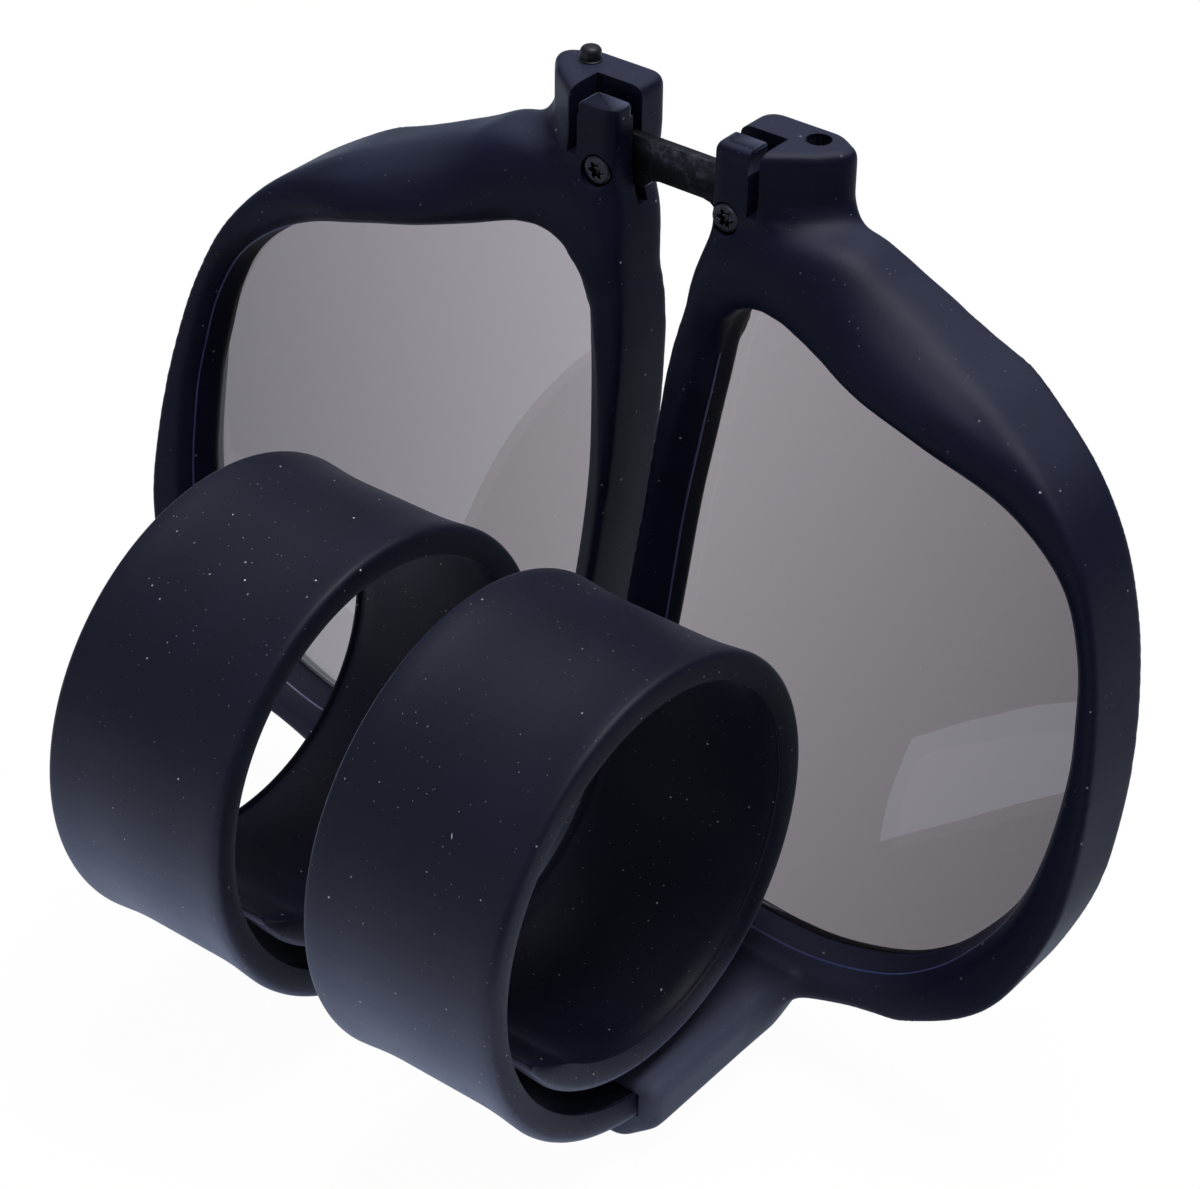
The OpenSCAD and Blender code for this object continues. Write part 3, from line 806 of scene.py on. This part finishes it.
def band_socket():
    """The hollow in the end piece that holds the band's root."""
    half_height, play = 1.15, 0.12
    root = [band_point(0, u)[0] for u in (0, 0.5, 1)]
    line = [ROOT + (5, 0)] + root + [root[-1] + (-3, 0.6)]
    outline = [(y, z - half_height) for y, z in line] + [(y, z + half_height) for y, z in line[::-1]]
    walls = (BAND_IN - play, BAND_IN + BAND_WIDE + play)
    return loft("socket", [[(x, y, z) for y, z in outline] for x in walls])


def shared_half(sizes):
    """Rim, hinge block and end piece grown into one moulding, with its slots and bores cut."""
    block = loft("block", block_loops(sizes))
    edge = edge_at(LENS_EDGE, np.linspace(0, 2 * np.pi, 120, endpoint=False))
    opening = MIDDLE + (edge - MIDDLE) * 1.012
    cut(block, loft("opening", [[(x, y, z) for x, z in opening] for y in (-25, 3)]))
    parts = [loft("rim", rim_loops(sizes), closed=True), block, loft("end_piece", end_loops())]
    pick(*parts)
    bpy.ops.object.join()
    o = bpy.context.object
    apply_modifier(o, "REMESH", mode="VOXEL", voxel_size=sizes.grain, use_smooth_shade=True)
    apply_modifier(o, "SMOOTH", factor=0.5, iterations=4)
    ease_joins(o)
    apply_modifier(o, "SMOOTH", factor=0.5, iterations=130, vertex_group="joins")
    o.vertex_groups.clear()
    cut(o, box_of("slot", (0, SLOT[0], -9.9), (9.5, SLOT[1], 3)))
    cut(o, box_of("slit", (SLIT_X, -12, SLIT_Z), (9.5, SLOT[1] - 0.05, 3)))
    cut(o, rod_of("seat", 1.42, on_pivot(-12), on_pivot(HEAD_Y - 0.05)))
    return cut(o, band_socket())


def half_painted_light(o):
    """Painted light on the end piece and the rim's lower edge for the floor's bounce, and on what faces
    up near the block for the top light.
    """
    co, normal = vertex_table(o)
    foot = 0.6 * smooth_step(-co[:, 2], 62, 66) * smooth_step(-co[:, 1], 19, 27)
    low = 0.20 * smooth_step(-co[:, 2], 58, 66)
    upper = 0.16 * smooth_step(normal[:, 2], 0.6, 0.98) * smooth_step(co[:, 2], -34, -22)
    set_painted_light(o, np.maximum(np.maximum(foot, low), upper))


class SUNGLASSES_OT_frame_halves(bpy.types.Operator):
    """Builds both frame halves: rim, nose pad, hinge block and end piece in one moulding"""
    bl_idname = "sunglasses.frame_halves"
    bl_label = "Frame halves"

    def execute(self, context):
        sizes = context.scene.sunglasses_sizes
        right = shared_half(sizes)
        half_painted_light(right)
        left = bpy.data.objects.new("half", right.data.copy())
        context.scene.collection.objects.link(left)
        cut(right, rod_of("hole", 1.05, (*PEG, -2.3), (*PEG, 2)))
        cut(left, finger_cutter(-0.75, 0.5))
        cut(right, finger_cutter(-0.02, 0.35))
        for o, (name, side) in zip((right, left), SIDES):
            settle(o, side)
            o.name = f"frame_half_{name}"
            finish_piece(o, plastic_material(), f"half_{name}", [f"frame_{name}"])
            # The lip round the lens opening carries a painted highlight line
            lip = settle(painted_highlight_lip(f"painted_highlight_lip_{name}", sizes), side)
            finish_piece(lip, painted_highlight_material(), f"half_{name}", angle=80)
        return {"FINISHED"}


# Lenses

LENS_THICK = 2.0
LENS_CHAMFER = 0.15
# Where the lens's rings lie, as shares of the way from its middle to its edge
LENS_RINGS = (0.12, 0.25, 0.4, 0.55, 0.7, 0.83, 0.93, 0.985, 1.0)


def lens_shape(name, bite, arch):
    """A lens of even thickness that bulges by arch and reaches by bite into its groove."""
    edge = edge_at(LENS_EDGE, np.linspace(0, 2 * np.pi, 160, endpoint=False))
    ray = edge - MIDDLE
    reach = np.hypot(ray[:, 0], ray[:, 1])
    ray /= reach[:, None]
    reach = reach + bite * (1 - 0.25 * smooth_step(-ray[:, 0], 0.3, 0.8))
    verts, faces = [], []
    for depth, chamfer in ((0.0, LENS_CHAMFER), (LENS_THICK, -LENS_CHAMFER)):
        verts.append((MIDDLE[0], wrap_y(*MIDDLE) + depth + arch, MIDDLE[1]))
        for f in LENS_RINGS:
            for r, s in zip(ray, reach):
                x, z = MIDDLE + r * s * f
                y = wrap_y(x, z) + depth + arch * (1 - f * f)
                verts.append((x, y + (chamfer if f == 1.0 else 0.0), z))
    n, rings = len(edge), len(LENS_RINGS)
    layer = 1 + n * rings
    for k in range(2):
        base = k * layer
        for j in range(n):
            tri = (base, base + 1 + j, base + 1 + (j + 1) % n)
            faces.append(tri if k else tri[::-1])
            for i in range(rings - 1):
                a, b = base + 1 + i * n, base + 1 + (i + 1) * n
                quad = (a + j, b + j, b + (j + 1) % n, a + (j + 1) % n)
                faces.append(quad if k else quad[::-1])
    last = 1 + (rings - 1) * n
    for j in range(n):
        a, b = last + j, last + (j + 1) % n
        faces.append((a, b, layer + b, layer + a))
    return face_out(mesh_object(name, verts, faces))


class SUNGLASSES_OT_lenses(bpy.types.Operator):
    """Builds the two smoked lenses"""
    bl_idname = "sunglasses.lenses"
    bl_label = "Lenses"

    def execute(self, context):
        sizes = context.scene.sunglasses_sizes
        for name, side in SIDES:
            o = lens_shape(f"lens_smoked_{name}", sizes.lens_bite, sizes.lens_arch)
            settle(o, side)
            finish_piece(o, lens_material(), f"half_{name}", [f"lens_{name}"], 30)
        return {"FINISHED"}


# Link, screws and peg


class SUNGLASSES_OT_bridge_link(bpy.types.Operator):
    """Builds the link plate between the two hinge blocks"""
    bl_idname = "sunglasses.bridge_link"
    bl_label = "Bridge link"

    def execute(self, context):
        eye_outer, eye_bore = 2.7, 0.86
        half = [(0.0, -7.2), (2.2, -7.2), (2.9, -7.35), (3.4, -7.75), (3.75, -8.2), (4.1, -8.45)]
        half += [tuple(PIVOT + eye_outer * heading(a)) for a in np.linspace(-138, 90, 22)]
        outline = half + [(-x, z) for x, z in half[::-1][:-1]]
        o = loft("link_plate", [[(x, y, z) for x, z in outline] for y in (LINK_Y - 0.5, LINK_Y + 0.5)])
        for side in (1, -1):
            cut(o, rod_of("eye", eye_bore, on_pivot(-6, side), on_pivot(-3, side)))
        apply_modifier(o, "BEVEL", width=0.1, segments=2, limit_method="ANGLE", angle_limit=0.9)
        settle(o)
        colour = tuple(c * 0.45 for c in context.scene.sunglasses_colours.metal)
        metal = metal_material("Scuffed link", colour, roughness=0.5, scratch=3.0)
        finish_piece(o, metal, "bridge", ["bridge_link"], 35)
        return {"FINISHED"}


class SUNGLASSES_OT_pivot_screws(bpy.types.Operator):
    """Builds the two pivot screws with six-lobe recesses"""
    bl_idname = "sunglasses.pivot_screws"
    bl_label = "Pivot screws"

    def execute(self, context):
        sides = 96
        around = np.linspace(0, 2 * math.pi, sides, endpoint=False)
        lobes = 0.62 + 0.16 * np.cos(6 * around + 0.4)
        # Radius and height: the shank, the head's rim and crown, then the recess with its floor
        levels = [(np.full(sides, r), h) for r, h in (
            (0.8, 5.6), (0.8, 0.0), (1.27, 0.0), (1.3, -0.06), (1.3, -0.62), (1.26, -0.72),
            (1.15, -0.79), (1.02, -0.8))]
        levels += [(lobes + 0.05, -0.8), (lobes, -0.74), (lobes, -0.22), (lobes * 0.5, -0.12)]
        loops = []
        for radii, h in levels:
            x, z = PIVOT[0] + radii * np.cos(around), PIVOT[1] + radii * np.sin(around)
            loops.append(list(zip(x, np.full(sides, HEAD_Y + h), z)))
        colour = tuple(c * 0.8 for c in context.scene.sunglasses_colours.metal)
        metal = metal_material("Blackened screw", colour, roughness=0.36, scratch=2.2)
        for name, side in SIDES:
            o = settle(loft(f"screw_{name}", loops), side)
            finish_piece(o, metal, f"half_{name}", [f"pivot_screw_{name}"], 35)
        return {"FINISHED"}


class SUNGLASSES_OT_locating_peg(bpy.types.Operator):
    """Builds the peg that lines up the unfolded halves"""
    bl_idname = "sunglasses.locating_peg"
    bl_label = "Locating peg"

    def execute(self, context):
        profile = [(0.9, -3.0), (0.9, 0.0), (0.98, 0.02), (0.98, 0.1), (0.9, 0.16), (0.9, 0.85),
                   (0.84, 1.0), (0.72, 1.14), (0.5, 1.25), (0.25, 1.29)]
        around = np.linspace(0, 360, 48, endpoint=False)
        loops = [[(*(PEG + r * heading(a)), z) for a in around] for r, z in profile]
        o = settle(loft("peg_domed", loops), -1)
        finish_piece(o, peg_material(), "half_left", ["locating_peg"], 50)
        return {"FINISHED"}


# Bands

# Share of the root's length that stays still on its half
ROOT_STILL = 0.85
STRIP_SECTION = [(0.15, -7.2), (0.15, 7.2), (-0.15, 7.2), (-0.15, -7.2)]


def sleeve_section(sizes):
    """The sleeve's cross-section as outward height and place across, round from one edge."""
    half, t, flare = BAND_WIDE / 2, sizes.band_thick / 2, sizes.band_flare
    side = half - 0.95
    across = np.linspace(-1, 1, 27)[1:-1]
    outer = [(t + flare * max(0, (abs(u) - 0.45) / 0.55) ** 2, u * side) for u in across]
    lip = [(t + flare - drop, side + run)
           for drop, run in ((0.0, 0.3), (0.04, 0.52), (0.12, 0.7), (0.25, 0.83), (0.44, 0.91),
                             (0.72, 0.95), (1.2, 0.95), (1.6, 0.93))]
    edge = lip + [(-t + 0.2, half - 0.1), (-t - 0.12, half - 0.22), (-t - 0.16, half - 0.4),
                  (-t - 0.02, half - 0.56), (-t + 0.16, half - 0.7), (-t + 0.14, side),
                  (-t, half - 1.2)]
    inner = [(-t, s) for s in np.linspace(half - 2.5, -half + 2.5, 7)]
    return outer + edge + inner + [(h, -s) for h, s in edge[::-1]]


def band_ribbon(name, stations, section, taper=0.75):
    """A closed shape that carries the cross-section along the stations and thins over the last link."""
    loops = []
    for k, u in stations:
        p, out = band_point(k, u)
        thin = float(smooth_step(k + u, LINKS + 0.1, LINKS + 1.0)) * taper
        loop = []
        for h, s in section:
            y, z = p + out * (h + (1.0 - h) * thin)
            loop.append((BAND_MIDDLE + s, y, z))
        loops.append(loop)
    return loft(name, loops)


def band_stations(k, steps):
    """Link and share of it at each cross-section of length k, which spans one joint of the band."""
    if k == 0:
        return [(0, u) for u in np.linspace(0, ROOT_STILL, 6)]
    if k == 1:
        return [(0, ROOT_STILL), (0, 0.93)] + [(1, u) for u in np.linspace(0, 0.5, steps)]
    before = [(k - 1, u) for u in np.linspace(0.5, 1, steps)]
    if k > LINKS:
        return before
    return before[:-1] + [(k, u) for u in np.linspace(0, 0.5, steps)]


def sleeve_painted_light(o):
    """Painted light on the outer face of the sleeve, low on the side of the wearer, for the floor's
    bounce.
    """
    co, normal = vertex_table(o)
    out = co[:, 1:] - (ROOT + (0, 20.5))
    outer = np.sum(out * normal[:, 1:], 1) / np.linalg.norm(out, axis=1)
    low = smooth_step(-co[:, 2], 38, 68) * smooth_step(-co[:, 1], 10, 34)
    set_painted_light(o, low * smooth_step(outer, -0.1, 0.6) * 1.5)


def finish_length(piece, material, nodes, bodies, k):
    """Finishes length k of a band. The first and the last ride one body; the others are baked in place.
    """
    rides = bodies[0] if k == 0 else bodies[LINKS] if k > LINKS else None
    finish_piece(piece, material, rides, nodes, 32)
    if rides is None:
        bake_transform(piece)


class SUNGLASSES_OT_bands(bpy.types.Operator):
    """Builds both silicone-sleeved spring bands, one piece for each link's joint"""
    bl_idname = "sunglasses.bands"
    bl_label = "Coiled bands"

    def execute(self, context):
        sizes = context.scene.sunglasses_sizes
        section = sleeve_section(sizes)
        silicone = silicone_material()
        steel = steel_material()
        for name, side in SIDES:
            links = [f"{name}_{k:02d}" for k in range(1, LINKS + 1)]
            bodies = [f"half_{name}"] + [f"coil_{link}" for link in links]
            nodes = [f"band_root_{name}"] + [f"band_{link}" for link in links]
            for k in range(LINKS + 2):
                stations = band_stations(k, sizes.band_steps)
                sleeve = band_ribbon(f"sleeve_{name}_{k:02d}", stations, section)
                sleeve_painted_light(sleeve)
                settle(sleeve, side)
                finish_length(sleeve, silicone, nodes[k:k + 1], bodies, k)
                if k <= LINKS:
                    strip = band_ribbon(f"strip_{name}_{k:02d}", stations, STRIP_SECTION, 0.0)
                    settle(strip, side)
                    shown = [f"spring_strip_{name}"] if k == 0 else []
                    finish_length(strip, steel, shown, bodies, k)
        return {"FINISHED"}


class SUNGLASSES_OT_anchor_pins(bpy.types.Operator):
    """Gives the hidden anchor pins their steel"""
    bl_idname = "sunglasses.anchor_pins"
    bl_label = "Anchor pins"

    def execute(self, context):
        for name, _ in SIDES:
            for which in ("inner", "outer"):
                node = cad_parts[f"anchor_pin_{which}_{name}"]
                for s in node.material_slots:
                    s.material = steel_material()
        return {"FINISHED"}


# Stage

WHITE = (1, 1, 1, 1)
# What shiny pieces mirror is a little bluer than what the eye sees
MIRRORED = (0.74, 0.83, 1.0, 1)
# Share of the floor that glows; the rest takes the shadows
FLOOR_GLOW = 0.975
FLOOR_COLOUR = (0.86, 0.86, 0.86, 1)
# Strength of the world as a light on matte surfaces
WORLD_LIGHT = 0.25
# The camera's degrees round, above and rolled, its distance in metres, the point that it looks at and
# its focal length as a share of the picture's width
CAMERA_TURN = (37.728, 34.438, 0.731)
CAMERA_AWAY = 0.28275
CAMERA_TARGET = placed(0, -15.0, -41.478)
FOCAL_SHARE = 3337.5 / 1200
SENSOR_WIDE = 36


def area_light(name, place, target, size, power, colour=(1, 1, 1)):
    light = bpy.data.lights.new(name, "AREA")
    light.shape = "DISK"
    light.size = size
    light.energy = power
    light.color = colour
    o = bpy.data.objects.new(name, light)
    bpy.context.scene.collection.objects.link(o)
    o.location = place
    o.rotation_euler = (Vector(target) - Vector(place)).to_track_quat("-Z", "Y").to_euler()


def ray_kinds(tree):
    """Masks of the rays of the eye, straight or through glass, and of the mirrored ones, and a tint."""
    rays = add_node(tree, "LightPath").outputs
    seen = math_node(tree, "MAXIMUM", rays["Is Camera Ray"], rays["Is Transmission Ray"])
    tint = mix_colour(tree, rays["Is Glossy Ray"], WHITE, MIRRORED)
    return seen, rays["Is Glossy Ray"], tint


def floor_material():
    """A pale floor that looks white and still takes the shadow."""
    m = bpy.data.materials.new("Pale floor")
    m.use_nodes = True
    tree = m.node_tree
    tree.nodes.clear()
    seen, glossy, tint = ray_kinds(tree)
    share = product(tree, math_node(tree, "MAXIMUM", seen, glossy), FLOOR_GLOW)
    matte = add_node(tree, "BsdfDiffuse", {"Color": FLOOR_COLOUR})
    glow = add_node(tree, "Emission", {"Color": tint, "Strength": 1.0})
    mix = add_node(tree, "MixShader", {0: share, 1: matte.outputs[0], 2: glow.outputs[0]})
    add_node(tree, "OutputMaterial", {"Surface": mix.outputs[0]})
    return m


def studio_world():
    """White to the eye; a soft rise from dark to white in mirrors; a faint light on all else."""
    world = bpy.data.worlds.new("Studio")
    world.use_nodes = True
    tree = world.node_tree
    seen, glossy, tint = ray_kinds(tree)
    split = add_node(tree, "SeparateXYZ", {0: add_node(tree, "TexCoord").outputs["Generated"]})
    rise = add_node(tree, "MapRange", {"Value": split.outputs["Z"], "From Min": 0.05, "From Max": 0.6,
                                       "To Min": 0.04, "To Max": 1.0}, interpolation_type="SMOOTHSTEP")
    mirrored = product(tree, glossy, rise.outputs["Result"])
    strength = math_node(tree, "MAXIMUM", seen, mirrored)
    others = math_node(tree, "SUBTRACT", 1.0, math_node(tree, "MAXIMUM", seen, glossy))
    strength = math_node(tree, "ADD", strength, product(tree, others, WORLD_LIGHT))
    wire(tree, tree.nodes["Background"], {"Strength": strength, "Color": tint})
    return world


def photo_camera():
    az, el, roll = map(math.radians, CAMERA_TURN)
    away = Vector((math.sin(az) * math.cos(el), -math.cos(az) * math.cos(el), math.sin(el)))
    camera = bpy.data.objects.new("camera", bpy.data.cameras.new("camera"))
    bpy.context.scene.collection.objects.link(camera)
    camera.location = Vector(CAMERA_TARGET) + away * CAMERA_AWAY
    turn = (-away).to_track_quat("-Z", "Y").to_matrix().to_4x4()
    camera.rotation_euler = (turn @ Matrix.Rotation(roll, 4, "Z")).to_euler()
    camera.data.sensor_fit = "HORIZONTAL"
    camera.data.sensor_width = SENSOR_WIDE
    camera.data.lens = FOCAL_SHARE * SENSOR_WIDE
    camera.data.clip_start = 0.01
    camera.data.clip_end = 20
    return camera


class SUNGLASSES_OT_stage(bpy.types.Operator):
    """Adds the pale floor, the soft light and the camera"""
    bl_idname = "sunglasses.stage"
    bl_label = "Stage"

    def execute(self, context):
        scene = context.scene
        clear_selection()
        bpy.ops.mesh.primitive_plane_add(size=3, location=(0, 0, 0))
        floor = context.object
        floor.name = "floor"
        floor.data.materials.append(floor_material())
        scene.world = studio_world()
        area_light("Top", (0.05, 0.1, 0.6), (0, 0, 0.03), 0.4, 4.0)
        area_light("Front card", (-0.12, -0.34, 0.02), (0, 0, 0.01), 0.22, 0.25, (0.85, 0.92, 1.0))
        scene.camera = photo_camera()
        scene.view_settings.view_transform = "Standard"
        return {"FINISHED"}


class SUNGLASSES_PT_pieces(bpy.types.Panel):
    """Lists the pieces and their sizes"""
    bl_idname = "SUNGLASSES_PT_pieces"
    bl_label = "Folding sunglasses"
    bl_space_type = "VIEW_3D"
    bl_region_type = "UI"
    bl_category = "Sunglasses"

    def draw(self, context):
        layout = self.layout
        for op in OPERATORS:
            layout.operator(op.bl_idname)
        for group in (context.scene.sunglasses_sizes, context.scene.sunglasses_colours):
            box = layout.box()
            for key in group.bl_rna.properties.keys():
                if key not in ("rna_type", "name"):
                    box.prop(group, key)


OPERATORS = (SUNGLASSES_OT_stage, SUNGLASSES_OT_frame_halves, SUNGLASSES_OT_lenses,
             SUNGLASSES_OT_bridge_link, SUNGLASSES_OT_pivot_screws, SUNGLASSES_OT_locating_peg,
             SUNGLASSES_OT_bands, SUNGLASSES_OT_anchor_pins)
CLASSES = (SunglassesSizes, SunglassesColours) + OPERATORS + (SUNGLASSES_PT_pieces,)


def register():
    for c in CLASSES:
        bpy.utils.register_class(c)
    bpy.types.Scene.sunglasses_sizes = bpy.props.PointerProperty(type=SunglassesSizes)
    bpy.types.Scene.sunglasses_colours = bpy.props.PointerProperty(type=SunglassesColours)


def unregister():
    del bpy.types.Scene.sunglasses_colours
    del bpy.types.Scene.sunglasses_sizes
    for c in reversed(CLASSES):
        bpy.utils.unregister_class(c)


def main():
    register()
    bpy.ops.sunglasses.stage()
    bpy.ops.sunglasses.frame_halves()
    bpy.ops.sunglasses.lenses()
    bpy.ops.sunglasses.bridge_link()
    bpy.ops.sunglasses.pivot_screws()
    bpy.ops.sunglasses.locating_peg()
    bpy.ops.sunglasses.bands()
    bpy.ops.sunglasses.anchor_pins()
    clear_selection()


if __name__ == "__main__":
    main()
